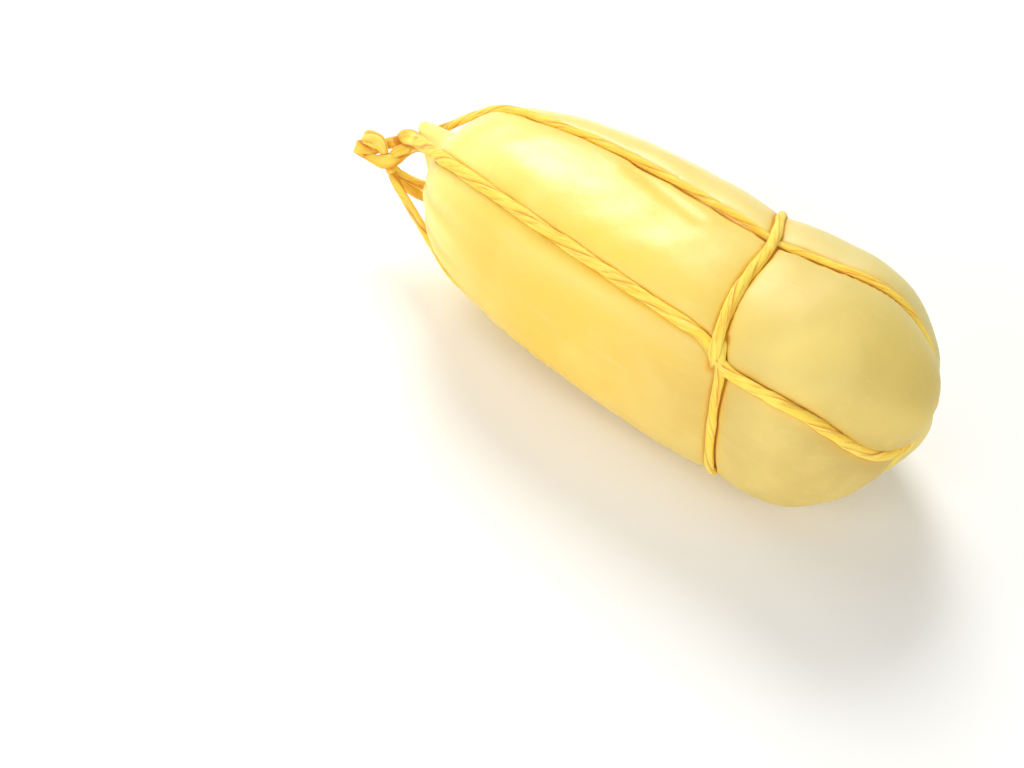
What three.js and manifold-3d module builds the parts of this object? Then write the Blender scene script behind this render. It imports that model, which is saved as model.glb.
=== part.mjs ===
// A small caciocavallo: a long stretched-curd cheese lying on its side, tied lengthwise with two loops of
// twisted paper string, belted once, and knotted at its neck. Millimetres, +Z up, neck towards -X.
import * as THREE from "three";
import { mergeVertices } from "three/addons/utils/BufferGeometryUtils.js";
import Module from "manifold-3d";

// The cheese, measured from its fattest section.
const NECK_REACH = 130.4;
const FAR_REACH = 39.6;
const HALF_THICK = 36.7;
const NECK_BLUNTNESS = 3.45;
const FAR_BLUNTNESS = 2.05;
const SQUARENESS = 2.9;
const FATTER_PER_MM = 0.00012;
const NECK_SIDE = -6.2;
const NECK_LIFT = 17;
const NECK_BEND = 1.57;
const FAR_SIDE = 8;
const FAR_LIFT = -4;
const FAR_BEND = 3;
const NUB_LENGTH = 17.2;
const NUB_RADIUS = 7;
const NUB_ROUNDNESS = 1.9;
const NUB_SIDE = 7.5;
const NUB_LIFT = 0.7;
const SWELL_X = 36;
const SWELL_ANGLE = 28;
const SWELL_HEIGHT = 4.5;
const SWELL_SPREAD = 17;
const TIP_DOWN = 6.1;
const FLAT_BELOW = 35.9;
const FLAT_SAG = 0.5;
const RINGS = 42;
const AROUND = 48;
const SIDE_LINE_STEPS = 2000;

// The string, and the soft valleys that it presses into the cheese.
const STRING_WIDE = 2.0;
const STRING_TALL = 1.7;
const STRING_RIDE = 0.5;
const STRING_SIDES = 8;
const STRING_STEP = 6.5;
const FREE_STEP = STRING_STEP / 2;
const BEND_REACH = 0.25;
const GAP = 0.3;
const VALLEY_DEPTH = 2.3;
const FAR_VALLEY_DEPTH = 6.5;
const VALLEY_SPREAD = 7;
const UNDER_PRESS = 1.3;
const UNDER_FOCUS = 4;
const GRIP_FROM = 0.04;
const GRIP_FULL = 0.16;
const FAR_GRIP_FROM = 0.8;
const VALLEY_STEPS = 90;
const BELT_VALLEY_STEPS = 60;
const CROSSING_LENGTH = 6;
const CROSSING_SINK = 0.9;
const CROSSING_RISE = 1.3;
const CROSSING_PRESS = 0.28;
const CROSSING_WIDENS = 0.4;
const FAR_CROSSING_LENGTH = 2 * CROSSING_LENGTH;

// Angles of the lengthwise strings round the body in degrees, 0 on top and positive towards the front:
// at the neck, before and after the belt, and on the far end. A low ease turns soon after the neck.
// Thick is a share of the full string.
const BELT_AT = 0.655;
const JOG_FROM = BELT_AT - 0.02;
const JOG_TO = BELT_AT + 0.05;
const TOP = { neck: -27, ease: 1, belt: -17.3, after: -18.5, far: -57, swing: 2.6, leaves: 0.08, thick: 0.8 };
const FRONT = { neck: 36, ease: 1, belt: 46, after: 55.5, far: 120, swing: 6, leaves: 0.03, thick: 1 };
const UNDER = { neck: 110, ease: 0.18, belt: 141, after: 141, far: 152, swing: 4, leaves: 0.05, thick: 0.9 };
const BACK = { neck: -170, ease: 0.5, belt: -110, after: -110, far: -88, swing: 4, leaves: 0.03, thick: 0.9 };

// The belt as angle and x: one run goes down the front and under, the other over the top and down the back.
const BELT_LOWER = [[46, -13.6], [54, -12.4], [64, -11.6], [120, -12], [180, -16.5], [215, -21]];
const BELT_UPPER = [
  [55, -14.4], [48, -16], [20, -19.8], [-9, -21.2], [-22, -23.6], [-45, -29.4], [-72, -30], [-110, -25.5],
  [-147, -20.6],
];

// The knot lies in a leaning plane: each point is across, up and out of that plane from its middle.
const KNOT_AT = [-153.6, -10.1, 13.6];
const KNOT_TURN = 37.3;
const KNOT_LEAN = 48;
const KNOT_WIDE = 1.8;
const KNOT_TALL = 0.85;
const KNOT_STEP = 2;
const KNOT_STEADY = 0.5;
const HIDDEN_BIGHT = [
  [10.6, 5.2, -4.6], [7.4, 4.3, -2.4], [4.4, 3.7, -0.9], [2, 3.4, -0.5], [-0.2, 3, -0.7], [-2.4, 2.2, -1],
  [-4.7, 1.2, -0.3], [-7.2, 1.4, 0.5], [-9.2, 1.7, 0.35], [-10.1, 1.8, -0.4], [-9.6, 1.4, -1.3],
  [-8, 0.5, -1.7], [-6.2, -0.9, -1.4], [-4.4, -2.1, 0.1], [-1.8, -3, 1.1], [0.6, -3, 1.3], [3.2, -2.1, 1],
  [5.4, -0.8, 0.6], [7.6, 0.2, 1.2],
];
const TOP_ARCH = [
  [10.4, 1.7, 12.5], [8.2, 3.8, 5.5], [6.6, 4.6, 2.9], [5.2, 4.8, 1.7], [4.5, 4.5, 0.5], [4.3, 4.1, -0.9],
  [2.8, 3.4, -2.3], [0, 2.9, -2.9], [-3.5, 3.3, -2.8], [-6, 4.4, -1.9], [-7.3, 4.9, -0.5], [-6.6, 4.8, 0.8],
  [-4.9, 4.2, 1.4], [-2.6, 2.9, 1.6], [-1.1, 1, 1.4], [-0.8, -0.6, 0.6], [-0.3, -2.6, -0.6],
  [0.4, -4.4, -1.2], [0.9, -5.8, -1.3], [1.6, -7.5, -1.6],
];
const RISING_END = [
  [10.8, 1.2, 3.2], [8.6, 1.4, 2.4], [6, 1, 1.9], [3.4, 0.3, 1.7], [1.6, -0.7, 1], [1, -2, -0.4],
  [1.4, -3.7, -1.7], [2.2, -5.2, -2.2], [4.2, -7, -3.2],
];
const TUCKED_TAIL = [
  [0.4, -3.4, -2.2], [1.8, -5.8, -3.4], [3.8, -8.6, -4.4], [6.4, -11, -5.2], [9.4, -13, -6], [13, -14.6, -7],
];

const cheeseMaterial = new THREE.MeshStandardMaterial({ color: 0xf2db8c, roughness: 0.45, metalness: 0 });
const stringMaterial = new THREE.MeshStandardMaterial({ color: 0xe4b653, roughness: 0.7, metalness: 0 });

const radians = THREE.MathUtils.degToRad;
const mix = THREE.MathUtils.lerp;
const ease = THREE.MathUtils.smoothstep;
const sideways = new THREE.Vector3(0, 1, 0);
const shareOf = (x) => THREE.MathUtils.clamp((x + NECK_REACH) / (NECK_REACH + FAR_REACH), 0, 1);

// The cheese is laid so that its belly is level: the neck end is tipped down by a few degrees.
function laid(x, y, z) {
  return new THREE.Vector3(x, y, z).applyAxisAngle(sideways, -radians(TIP_DOWN));
}

// The distance along the straight axis before tipping, without the nub: t runs from neck (0) to far end (pi).
function axisX(t) {
  const along = Math.cos(t);
  if (along > 0) return -NECK_REACH * along ** (2 / NECK_BLUNTNESS);
  return FAR_REACH * (-along) ** (2 / FAR_BLUNTNESS);
}

// The t at which axisX is a given x.
function turnAt(x) {
  const reach = x < 0 ? NECK_REACH : FAR_REACH;
  const bluntness = x < 0 ? NECK_BLUNTNESS : FAR_BLUNTNESS;
  return Math.acos(-Math.sign(x) * (Math.abs(x) / reach) ** (bluntness / 2));
}

// A point of the smooth body: angle goes round, 0 on top and positive towards the front.
function bodyPoint(t, angle) {
  const atNeck = Math.cos(t) > 0;
  const plain = HALF_THICK * Math.max(Math.sin(t), 0) ** (2 / (atNeck ? NECK_BLUNTNESS : FAR_BLUNTNESS));
  const radius = plain * (1 + FATTER_PER_MM * axisX(t));
  const nub = atNeck ? Math.exp(-((plain / NUB_RADIUS) ** NUB_ROUNDNESS)) : 0;
  const x = axisX(t) - nub * NUB_LENGTH;
  const square = mix(2, SQUARENESS, Math.min(radius / HALF_THICK, 1));
  const front = Math.sin(angle);
  const up = Math.cos(angle);
  const stretch = (Math.abs(front) ** square + Math.abs(up) ** square) ** (-1 / square);
  const toNeck = x < 0 ? (-x / NECK_REACH) ** NECK_BEND : 0;
  const toFar = x > 0 ? (x / FAR_REACH) ** FAR_BEND : 0;
  const y = -radius * stretch * front + NECK_SIDE * toNeck + FAR_SIDE * toFar + NUB_SIDE * nub;
  const z = radius * stretch * up + NECK_LIFT * toNeck + FAR_LIFT * toFar + NUB_LIFT * nub;
  const point = laid(x, y, z);
  point.z = Math.max(point.z, -FLAT_BELOW - FLAT_SAG);
  return point;
}

function bodyNormal(t, angle) {
  const step = 1e-3;
  const inside = THREE.MathUtils.clamp(t, 2 * step, Math.PI - 2 * step);
  const lengthwise = bodyPoint(inside + step, angle).sub(bodyPoint(inside - step, angle));
  const round = bodyPoint(inside, angle + step).sub(bodyPoint(inside, angle - step));
  return round.cross(lengthwise).normalize();
}

// The side line of the body, used to space rings and string stations evenly from neck to far end.
class SideLine extends THREE.Curve {
  getPoint(t) {
    return bodyPoint(t * Math.PI, Math.PI / 2);
  }
}
const sideLine = new SideLine();
sideLine.arcLengthDivisions = SIDE_LINE_STEPS;
const evenly = (u) => sideLine.getUtoTmapping(u) * Math.PI;

function stringAngle(line, share) {
  const shift = (line.after - line.belt) * ease(share, JOG_FROM, JOG_TO);
  const toBelt = (share / BELT_AT) ** line.ease;
  if (share < BELT_AT) return radians(mix(line.neck, line.belt, toBelt) + shift);
  const swing = ((share - BELT_AT) / (1 - BELT_AT)) ** line.swing;
  return radians(line.belt + shift + (line.far - line.after) * swing);
}

// The places of a lengthwise string on the smooth body, from where it leaves the shoulder to the far end.
function lengthwiseLine(line, count) {
  const places = [];
  for (let i = 0; i <= count; i++) {
    const t = evenly(i / count);
    const share = shareOf(axisX(t));
    if (share > line.leaves) places.push({ t, angle: stringAngle(line, share), share });
  }
  return places;
}

function beltLine(table, count) {
  const curve = new THREE.SplineCurve(table.map(([angle, x]) => new THREE.Vector2(angle, x)));
  return curve.getSpacedPoints(count).map((p) => ({ t: turnAt(p.y), angle: radians(p.x), share: BELT_AT }));
}

const lengthwise = [TOP, FRONT, UNDER, BACK];
const belts = [BELT_LOWER, BELT_UPPER];
const presserOf = (places, isBelt) => ({
  points: places.map((place) => bodyPoint(place.t, place.angle)),
  depths: places.map((place) => {
    const grip = VALLEY_DEPTH * ease(place.share, GRIP_FROM, GRIP_FULL);
    const weight = UNDER_PRESS * Math.max(0, -bodyNormal(place.t, place.angle).z) ** UNDER_FOCUS;
    return grip + weight + (FAR_VALLEY_DEPTH - VALLEY_DEPTH) * ease(place.share, FAR_GRIP_FROM, 1);
  }),
  isBelt,
});
const pressers = [
  ...lengthwise.map((line) => presserOf(lengthwiseLine(line, VALLEY_STEPS), false)),
  ...belts.map((table) => presserOf(beltLine(table, BELT_VALLEY_STEPS), true)),
];

// Distance from a point to a line of points, and which stretch of it is nearest.
function nearest(points, from) {
  const stretch = new THREE.Line3();
  const foot = new THREE.Vector3();
  let best = Infinity;
  let index = 0;
  for (let i = 0; i + 1 < points.length; i++) {
    stretch.set(points[i], points[i + 1]);
    const away = stretch.closestPointToPoint(from, true, foot).distanceTo(from);
    if (away < best) {
      best = away;
      index = i;
    }
  }
  return { away: best, index };
}

// How far the strings press the body in at a point of it.
function sag(point) {
  let cubes = 0;
  let belt = 0;
  for (const presser of pressers) {
    const { away, index } = nearest(presser.points, point);
    const steepness = (Math.hypot(away, STRING_WIDE) - STRING_WIDE) / VALLEY_SPREAD;
    const fall = presser.depths[index] * Math.exp(-steepness);
    if (presser.isBelt) belt = Math.max(belt, fall);
    else cubes += fall ** 3;
  }
  return Math.cbrt(cubes + belt ** 3);
}

// The front lobe swells out past the strings at the far end.
const swellAt = bodyPoint(turnAt(SWELL_X), radians(SWELL_ANGLE));
const swell = (point) => SWELL_HEIGHT * Math.exp(-point.distanceToSquared(swellAt) / SWELL_SPREAD ** 2);

function pressedPoint(t, angle, out) {
  const point = bodyPoint(t, angle);
  return point.addScaledVector(bodyNormal(t, angle), out + swell(point) - sag(point));
}

function cheeseGeometry() {
  const shell = new THREE.SphereGeometry(1, AROUND, RINGS);
  const { position, uv } = shell.attributes;
  for (let i = 0; i < position.count; i++) {
    const share = 1 - uv.getY(i);
    const atPole = share < 1e-6 || share > 1 - 1e-6;
    const angle = atPole ? 0 : -2 * Math.PI * uv.getX(i);
    const point = pressedPoint(evenly(share), angle, 0);
    position.setXYZ(i, point.x, point.y, Math.max(point.z, -FLAT_BELOW));
  }
  return shell;
}

// A cord swept through stations, each with a middle, an outward direction and half sizes.
function cordGeometry(stations, grow) {
  const last = stations.length - 1;
  const cord = new THREE.CylinderGeometry(1, 1, 1, STRING_SIDES, last);
  const { position } = cord.attributes;
  const frames = stations.map((station, i) => {
    const ahead = stations[Math.min(i + 1, last)].at.clone().sub(stations[Math.max(i - 1, 0)].at).normalize();
    const out = station.out.clone().addScaledVector(ahead, -station.out.dot(ahead)).normalize();
    return { out, side: ahead.clone().cross(out), ahead };
  });
  for (let i = 0; i < position.count; i++) {
    const index = Math.round((0.5 - position.getY(i)) * last);
    const { at, wide, tall } = stations[index];
    const { out, side, ahead } = frames[index];
    const beyond = index === 0 ? -grow : index === last ? grow : 0;
    const place = at.clone().addScaledVector(out, position.getX(i) * (tall + grow));
    place.addScaledVector(side, position.getZ(i) * (wide + grow)).addScaledVector(ahead, beyond);
    position.setXYZ(i, place.x, place.y, place.z);
  }
  return cord;
}

// Stations of a string on the cheese, shifted in or out and pressed flatter near each crossing.
function stationsOn(places, crossings, shift, thick) {
  return places.map(({ t, angle }) => {
    const ground = bodyPoint(t, angle);
    const away = Math.min(...crossings.map((crossing) => crossing.distanceTo(ground)));
    const near = Math.exp(-((away / CROSSING_LENGTH) ** 2));
    return {
      at: pressedPoint(t, angle, STRING_RIDE + shift * near),
      out: bodyNormal(t, angle),
      wide: STRING_WIDE * thick * (1 + CROSSING_PRESS * CROSSING_WIDENS * near),
      tall: STRING_TALL * thick * (1 - CROSSING_PRESS * near),
    };
  });
}

const knotTurn = radians(KNOT_TURN);
const knotLean = radians(KNOT_LEAN);
const knotAcross = laid(Math.cos(knotTurn), Math.sin(knotTurn), 0);
const knotOut = laid(Math.sin(knotTurn) * Math.cos(knotLean), -Math.cos(knotTurn) * Math.cos(knotLean),
  Math.sin(knotLean));
const knotUp = knotOut.clone().cross(knotAcross);

function knotPoint([across, up, out]) {
  const point = laid(...KNOT_AT).addScaledVector(knotAcross, across);
  return point.addScaledVector(knotUp, up).addScaledVector(knotOut, out);
}

// The free run of a string from the knot to its first station on the shoulder.
function freeStations(ends, first, second) {
  const start = knotPoint(ends[0]);
  const away = start.clone().sub(knotPoint(ends[1])).normalize();
  const onto = second.at.clone().sub(first.at).normalize();
  const reach = start.distanceTo(first.at) * BEND_REACH;
  const bend = new THREE.CubicBezierCurve3(start, start.clone().addScaledVector(away, reach),
    first.at.clone().addScaledVector(onto, -reach), first.at);
  const count = Math.max(3, Math.round(bend.getLength() / FREE_STEP));
  return bend.getSpacedPoints(count).slice(0, -1).map((at, i) => ({
    at,
    out: knotOut.clone().lerp(first.out, i / count).normalize(),
    wide: mix(KNOT_WIDE, first.wide, i / count),
    tall: mix(KNOT_TALL, first.tall, i / count),
  }));
}

// A string from the knot along one line to the far end and back along another line to the knot.
function loopStations(there, back, from, to) {
  const pole = there.at(-1);
  pole.at.lerp(back.at(-1).at, 0.5);
  const onBody = [...there, ...back.slice(0, -1).reverse()];
  const start = freeStations(from, onBody[0], onBody[1]);
  const end = freeStations(to, onBody.at(-1), onBody.at(-2)).reverse();
  return [...start, ...onBody, ...end];
}

const wasm = await Module();
wasm.setup();

function solid(geometry) {
  const bare = geometry.clone();
  bare.deleteAttribute("normal");
  bare.deleteAttribute("uv");
  const merged = mergeVertices(bare, 1e-4);
  const vertProperties = new Float32Array(merged.attributes.position.array);
  const triVerts = new Uint32Array(merged.index.array);
  return new wasm.Manifold(new wasm.Mesh({ numProp: 3, vertProperties, triVerts }));
}

const cords = (list, grow) => list.map((stations) => solid(cordGeometry(stations, grow)))
  .reduce((all, one) => all.add(one));

function meshOf(name, body, material) {
  const { vertProperties, triVerts } = body.getMesh();
  const geometry = new THREE.BufferGeometry();
  geometry.setAttribute("position", new THREE.BufferAttribute(vertProperties, 3));
  geometry.setIndex(new THREE.BufferAttribute(triVerts, 1));
  geometry.computeVertexNormals();
  const mesh = new THREE.Mesh(geometry, material);
  mesh.name = name;
  return mesh;
}

const beltCrossings = lengthwise.map((line) => {
  const t = turnAt(mix(-NECK_REACH, FAR_REACH, BELT_AT));
  return bodyPoint(t, stringAngle(line, BELT_AT));
});
const farPole = bodyPoint(Math.PI, 0);
const steps = Math.round(sideLine.getLength() / STRING_STEP);
const [onTop, onFront, onUnder, onBack] = lengthwise.map((line) =>
  stationsOn(lengthwiseLine(line, steps), [...beltCrossings, farPole], -CROSSING_SINK, line.thick));

// The loop over the top lies under the loop across the front on the far end.
const startOf = (strand) => strand.slice(0, 2);
const endOf = (strand) => strand.slice(-2).reverse();
const overStations = loopStations(onTop, onUnder, startOf(HIDDEN_BIGHT), endOf(TOP_ARCH));
const acrossStations = loopStations(onFront, onBack, startOf(TOP_ARCH), endOf(RISING_END));
for (const station of acrossStations) {
  const away = station.at.distanceTo(onTop.at(-1).at) / FAR_CROSSING_LENGTH;
  station.at.addScaledVector(station.out, (CROSSING_SINK + CROSSING_RISE) * Math.exp(-(away ** 2)));
}
const beltStations = belts.map((table) => {
  const span = radians(Math.abs(table.at(-1)[0] - table[0][0]));
  const places = beltLine(table, Math.round((span * HALF_THICK) / STRING_STEP));
  return stationsOn(places, beltCrossings, CROSSING_RISE, 1);
});

// A strand of the knot lies flat, and keeps its broad side steady where it folds over.
function strandStations(strand) {
  const curve = new THREE.CatmullRomCurve3(strand.map(knotPoint));
  const count = Math.round(curve.getLength() / KNOT_STEP);
  const steady = new THREE.Vector3();
  return curve.getSpacedPoints(count).map((at, i) => {
    const ahead = curve.getTangentAt(i / count);
    const side = ahead.clone().cross(knotOut);
    if (side.dot(steady) < 0) side.negate();
    side.addScaledVector(steady, KNOT_STEADY).normalize();
    steady.copy(side);
    return { at, out: side.cross(ahead), wide: KNOT_WIDE, tall: KNOT_TALL };
  });
}
const knotStations = [HIDDEN_BIGHT, TOP_ARCH, RISING_END, TUCKED_TAIL].map(strandStations);

const knotSpace = cords(knotStations, GAP);
const overSpace = cords([overStations], GAP);
const acrossSpace = cords([acrossStations], GAP);
const beltSpace = cords(beltStations, GAP);
const knot = cords(knotStations, 0);
const over = cords([overStations], 0).subtract(knotSpace);
const across = cords([acrossStations], 0).subtract(knotSpace).subtract(overSpace);
const belt = cords(beltStations, 0).subtract(overSpace).subtract(acrossSpace);
const stringSpace = overSpace.add(acrossSpace).add(beltSpace).add(knotSpace);
const cheese = solid(cheeseGeometry()).subtract(stringSpace);

const part = new THREE.Group();
part.add(
  meshOf("cheese", cheese, cheeseMaterial),
  meshOf("string_over", over, stringMaterial.clone()),
  meshOf("string_across", across, stringMaterial.clone()),
  meshOf("belt", belt, stringMaterial.clone()),
  meshOf("knot", knot, stringMaterial.clone()),
);

// The origin is on the table under the middle of the whole.
const box = new THREE.Box3().setFromObject(part);
const middle = box.getCenter(new THREE.Vector3());
part.position.set(-middle.x, -middle.y, -box.min.z);

export default part;
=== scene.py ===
# A small tied caciocavallo: the waxy cheese, the twisted paper string round it and the knot at its neck.
# Shapes are worked out in millimetres in the cheese's own axes, then laid down on the floor in metres.
import math

import bpy
import numpy as np
from mathutils import Matrix


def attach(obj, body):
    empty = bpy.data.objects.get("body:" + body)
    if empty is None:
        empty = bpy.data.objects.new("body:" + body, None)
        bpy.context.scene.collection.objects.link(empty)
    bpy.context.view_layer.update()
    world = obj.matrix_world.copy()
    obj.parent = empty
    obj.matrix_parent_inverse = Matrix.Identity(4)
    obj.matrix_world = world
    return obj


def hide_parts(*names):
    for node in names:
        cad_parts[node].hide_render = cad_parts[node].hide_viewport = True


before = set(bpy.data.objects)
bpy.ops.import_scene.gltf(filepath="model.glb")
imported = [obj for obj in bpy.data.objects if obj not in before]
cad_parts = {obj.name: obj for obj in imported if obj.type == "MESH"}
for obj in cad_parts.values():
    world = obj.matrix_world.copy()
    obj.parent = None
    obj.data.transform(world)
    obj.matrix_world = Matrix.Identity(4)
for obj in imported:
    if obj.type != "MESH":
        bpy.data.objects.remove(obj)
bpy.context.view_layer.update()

# The cheese, measured from its fattest section, in millimetres and degrees.
NECK_REACH = 130.4
FAR_REACH = 39.6
HALF_THICK = 36.7
NECK_BLUNTNESS = 3.45
FAR_BLUNTNESS = 2.05
SQUARENESS = 2.9
FATTER_PER_MM = 0.00012
NECK_SIDE = -6.2
NECK_LIFT = 17.0
NECK_BEND = 1.57
FAR_SIDE = 8.0
FAR_LIFT = -4.0
FAR_BEND = 3.0
NUB_LENGTH = 17.2
NUB_RADIUS = 7.0
NUB_ROUNDNESS = 1.9
NUB_SIDE = 7.5
NUB_LIFT = 0.7
SWELL_X = 36.0
SWELL_ANGLE = 28.0
SWELL_HEIGHT = 4.5
SWELL_SPREAD = 17.0
TIP_DOWN = 6.1
FLAT_BELOW = 35.9
FLAT_SAG = 0.5

# Where the middle of the cheese's own axes stands over the floor once it is laid down.
STANDS_AT = np.array((62.617, 0.524, FLAT_BELOW))
TO_METRES = 0.001

# Low relief of the skin: a crease and a hollow through places given as x and angle, and lumps.
CREASE = [[-70, -15.5], [-59, -10], [-51, -7.3], [-44, -5]]
CREASE_DEPTH = 0.55
CREASE_SPREAD = 3.0
HOLLOW = [[-68, 64], [-54, 70]]
HOLLOW_DEPTH = 0.9
HOLLOW_SPREAD = 11
BROAD_LUMP_HEIGHT = 0.35
BROAD_LUMP_LENGTH = 46
BROAD_LUMP_SEED = 3
SMALL_LUMP_HEIGHT = 0.12
SMALL_LUMP_LENGTH = 15
SMALL_LUMP_SEED = 5
LUMP_WAVES = 14
LUMP_VARIES = (0.75, 1.3)
LUMP_EVENS_OUT = 3.7

# Pleats that the string draws together at the neck, with the angles, turns and shares of the length between
# which they fade.
PLEAT_DEPTH = 0.36
PLEAT_COUNT = 14
PLEAT_SWAY = 1.3
PLEAT_SWAY_COUNT = 2
FINE_PLEAT_COUNT = 23
FINE_PLEAT_SHARE = 0.6
FINE_PLEAT_SHIFT = 2
PLEAT_FROM = (38, 50)
PLEAT_TO = (100, 150)
PLEAT_OFF_NUB = (0.0, 0.25)
PLEAT_FADES = (0.04, 0.24)

# Where the skin changes colour, as the shares of the length and the angles between which it fades: paler at
# the neck with a painted highlight on the pleat ridges, a painted pale reflection behind, and painted warm
# shade below.
PALE_NECK_FADES = (0.05, 0.22)
PALE_NECK_FROM = (-60, -20)
PALE_NECK_TO = (80, 140)
# The pale neck follows the pleats in part: a painted highlight on their ridges.
RIDGE_HIGHLIGHT_SHARE = 0.25
# A painted pale reflection on the rear of the skin.
REAR_REFLECTION_FROM = (-180, -110)
REAR_REFLECTION_TO = (-45, 5)
# Painted warm shade on the lower side of the skin.
LOWER_SHADE_FROM = (40, 75)
LOWER_SHADE_TO = (120, 165)

# The string: half its width and height, how high it rides, and how its size and twist vary along it.
STRING_WIDE = 2.0
STRING_TALL = 1.7
STRING_RIDE = 0.5
STRING_PITCH = 36.0
KNOT_PITCH = 1500.0
PITCH_VARIES = 0.3
PITCH_VARIES_OVER = 60
WIDE_VARIES = 0.06
WIDE_VARIES_OVER = 21
TALL_VARIES = 0.05
TALL_VARIES_OVER = 17
KNOBBLY = 0.025
KNOBBLY_OVER = 9
WANDER_WAVES = (1.0, 0.63, 0.41)
WANDER_EVENS_OUT = 2.2

# The strings' seeds, and what is added to them for each thing that varies.
OVER_SEED = 11
ACROSS_SEED = 23
BELT_SEED = 37
KNOT_SEED = 51
WIDE_SEED = 3
TALL_SEED = 4
KNOBBLY_SEED = 77
FOLD_SEED_STEP = 10
SWAY_SEED = 5

# Folds of the rolled paper, as shares of the string's size and widths in radians round it. The paper stands
# up in a lip on one side of a fold and dips on the other.
# The folds and dips also carry painted amber and orange shade, and the lips a painted highlight.
MAIN_FOLDS = 2
MAIN_FOLD_WIDTH = 0.16
MAIN_FOLD_STRENGTH = 0.85
MAIN_FOLD_VARIES = 0.3
MAIN_FOLD_LEAST = 0.4
MAIN_FOLD_SWAY = 0.22
FINE_FOLDS = 9
FINE_FOLD_WIDTH = 0.1
FINE_FOLD_STRENGTH = 0.3
FINE_FOLD_VARIES = 0.5
FINE_FOLD_MOST = 0.7
FINE_FOLD_SWAY = 0.5
FOLD_DEPTH = 0.2
FOLD_PLUMP = 0.06
FOLD_VARIES_OVER = (20, 34)
FOLD_SWAYS_OVER = 38
LIP_WIDTH = 0.5
LIP_RISE = 0.4
DIP_WIDTH = 0.45
DIP_FALL = 0.3
FIBRE_LENGTH = 70.0

# The soft valleys that the strings press into the cheese, and their own narrow seats in them.
VALLEY_DEPTH = 2.3
FAR_VALLEY_DEPTH = 6.5
FAR_VALLEY_FROM = 0.8
VALLEY_SPREAD = 7.0
GRIP_FROM = 0.04
GRIP_FULL = 0.16
UNDER_PRESS = 1.3
UNDER_PRESS_FALL = 4
SEAT_WIDTH = 2.1
# How far the painted amber shade beside a string reaches.
SHADE_BESIDE_REACH = 1.1

# Where strings cross, one sinks, the other rises over it, and both are pressed flatter and wider.
CROSSING_LENGTH = 6.0
CROSSING_SINK = 0.9
CROSSING_RISE = 1.3
CROSSING_PRESS = 0.28
CROSSING_WIDENS = 0.4

# The bend of a string between knot and shoulder, where the front string is a flat band that is drawn in once.
BEND_REACH = 0.25
BAND_LENGTH = 45.0
BAND_FLATTER = 0.3
DRAWN_IN_AT = 12.0
DRAWN_IN_LENGTH = 7.0
DRAWN_IN_SHARE = 0.08

# Angles of the lengthwise strings round the body, 0 on top and positive towards the front: at the neck,
# before and after the belt, and on the far end. A low ease turns soon after the neck. A string leaves the
# shoulder for the knot at a share of the body's length. The widths are shares of the string's own, at the
# neck, at the belt and on the far end.
BELT_AT = 0.655
SHIFT_BEFORE = 0.02
SHIFT_AFTER = 0.05
HIDDEN_WIDTHS = (0.85, 0.85, 0.85)
TOP = dict(neck=-27, ease=1, belt=-17.3, after=-18.5, far=-57, swing=2.6, leaves=0.08, widths=(0.8, 0.5, 0.5))
FRONT = dict(neck=36, ease=1, belt=46, after=55.5, far=120, swing=6, leaves=0.03, widths=(1.0, 0.86, 0.92))
UNDER = dict(neck=110, ease=0.18, belt=141, after=141, far=152, swing=4, leaves=0.05, widths=HIDDEN_WIDTHS)
BACK = dict(neck=-170, ease=0.5, belt=-110, after=-110, far=-88, swing=4, leaves=0.03, widths=HIDDEN_WIDTHS)

# The belt as angle and x: it starts under its own end, goes down the front and under, then up the back and
# over the top. Its start is tucked in, its end is pointed, and it is thinner away from that end.
BELT_LOWER = [[43, -15.6], [49, -14.6], [55, -12.9], [63, -11.8], [120, -12], [180, -16.5], [215, -21]]
BELT_UPPER = [
    [57, -15.4], [50, -15.8], [20, -19.8], [-9, -21.2], [-22, -23.6], [-45, -29.4], [-72, -30], [-110, -25.5],
    [-147, -20.6],
]
BELT_WIDTHS = (1, 1, 1)
BELT_THICK = 0.9
BELT_THIN = 0.72
BELT_THINS_FROM = 25.0
BELT_THINS_TO = 65.0
TUCK_LENGTH = 10.0
TUCK_DEPTH = 1.7
START_LENGTH = 2.0
START_SLIM = 0.9
POINT_LENGTH = 6.0
POINT_DEPTH = 0.5
POINT_SLIM = 0.85

# The knot lies in a leaning plane: each point is across, up and out of that plane from its middle, with half
# the width of the flat ribbon there.
KNOT_AT = np.array((-153.6, -10.1, 13.6))
KNOT_TURN = 37.3
KNOT_LEAN = 48.0
HIDDEN_BIGHT = [
    [10.6, 5.2, -4.6, 1.6], [7.4, 4.3, -2.4, 1.7], [4.4, 3.6, -0.9, 1.85], [2, 3.2, -0.6, 1.9],
    [-0.2, 2.8, -0.9, 1.9], [-2.4, 2, -1.3, 2], [-4.7, 1.2, -0.8, 2.3], [-7.2, 1.45, -0.1, 2.35],
    [-9.1, 1.6, -0.2, 2.35], [-9.7, 1.6, -0.9, 2.3], [-9.1, 1.1, -1.6, 2.1], [-7.8, 0.3, -1.7, 2],
    [-6.2, -0.9, -1.2, 1.8], [-4.4, -2.3, 0.2, 1.8], [-1.8, -3.2, 1.2, 2.4], [0.6, -3.2, 1.4, 2.4],
    [3.2, -2.1, 1, 2.1], [5.4, -0.8, 0.6, 1.5], [7.8, 0.1, 2.2, 1], [10.2, -0.2, 7.4, 0.7],
    [12.6, -1.5, 12.6, 0.4],
]
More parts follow.
